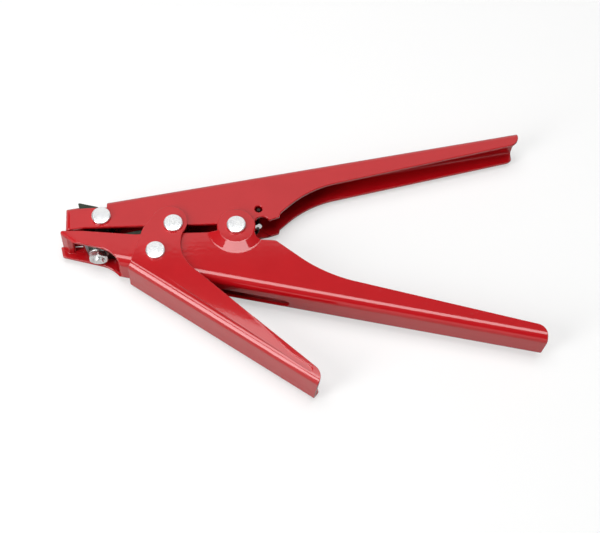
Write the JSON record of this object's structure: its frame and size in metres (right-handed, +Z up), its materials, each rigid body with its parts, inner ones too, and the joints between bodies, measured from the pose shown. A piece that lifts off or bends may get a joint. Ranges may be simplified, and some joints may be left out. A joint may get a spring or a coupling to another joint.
{
  "type": "cable_tie_tensioning_tool",
  "caption": "Hand tool of pressed red sheet steel that pulls a cable tie tight between its toothed pawl and nose wall, with a side lever that cuts off the tail",
  "frame": {"origin": "where the axis of the main pivot rivet meets the rest plane of the tool lying on its side", "axes": "+X from the nose to the handle ends, +Y towards the upper handle, +Z up from the rest plane along the pivot axes"},
  "size_m": [0.1854, 0.1083, 0.0208],
  "materials": {
    "red_enamel": "gloss",
    "zinc_steel": "satin",
    "rivet_steel": "satin",
    "spring_steel": "satin",
    "hardened_steel": "satin",
    "blade_steel": "satin"
  },
  "bodies": {
    "lower_body": {"lower_frame": "red_enamel", "strap_guide_plate": "zinc_steel", "main_pivot_rivet": "rivet_steel", "main_pivot_sleeve": "zinc_steel", "main_return_spring": "spring_steel", "lever_pivot_rivet": "rivet_steel", "lever_pivot_sleeve": "zinc_steel", "lever_return_spring": "spring_steel"},
    "upper_body": {"upper_frame": "red_enamel", "pawl_rivet": "rivet_steel", "pawl_spring": "spring_steel"},
    "pawl_body": {"gripping_pawl": "hardened_steel"},
    "lever_body": {"cutting_lever": "red_enamel", "link_rivet": "rivet_steel", "link_spacers": "zinc_steel"},
    "link_body": {"cutter_link": "zinc_steel"},
    "carrier_body": {"blade_carrier": "zinc_steel", "cutter_blade": "blade_steel", "clamp_bolt": "rivet_steel", "clamp_washer": "rivet_steel", "clamp_nut": "rivet_steel", "link_pin": "rivet_steel"}
  },
  "joints": [
    {"name": "upper_frame_hinge", "type": "hinge", "parent": "lower_body", "child": "upper_body", "pos_m": [0, 0, 0.0104], "axis": [0, 0, -1], "range_deg": [0, 34], "stiffness_Nm_per_rad": 0.6, "springref_deg": -28.65, "deforming": ["main_return_spring"]},
    {"name": "cutting_lever_hinge", "type": "hinge", "parent": "lower_body", "child": "lever_body", "pos_m": [-0.0314, -0.0102, 0.0104], "axis": [0, 0, 1], "range_deg": [0, 20], "stiffness_Nm_per_rad": 0.3, "springref_deg": -22.92, "deforming": ["lever_return_spring"]},
    {"name": "pawl_hinge", "type": "hinge", "parent": "upper_body", "child": "pawl_body", "pos_m": [-0.0524, 0.0065, 0.0104], "axis": [0, 0, -1], "range_deg": [0, 20], "stiffness_Nm_per_rad": 0.01, "springref_deg": -17.19, "deforming": ["pawl_spring"]},
    {"name": "link_hinge", "type": "hinge", "parent": "lever_body", "child": "link_body", "pos_m": [-0.0244, 0.0015, 0.0104], "axis": [0, 0, 1], "range_deg": [-15.6, 0]},
    {"name": "carrier_slide", "type": "slide", "parent": "lower_body", "child": "carrier_body", "axis": [-1, 0, 0], "range_m": [0, 0.00405]}
  ],
  "couplings": [
    {"joint": "link_hinge", "follows": "cutting_lever_hinge", "ratio": -0.763},
    {"joint": "carrier_slide", "follows": "cutting_lever_hinge", "m_per_rad": 0.0115}
  ]
}
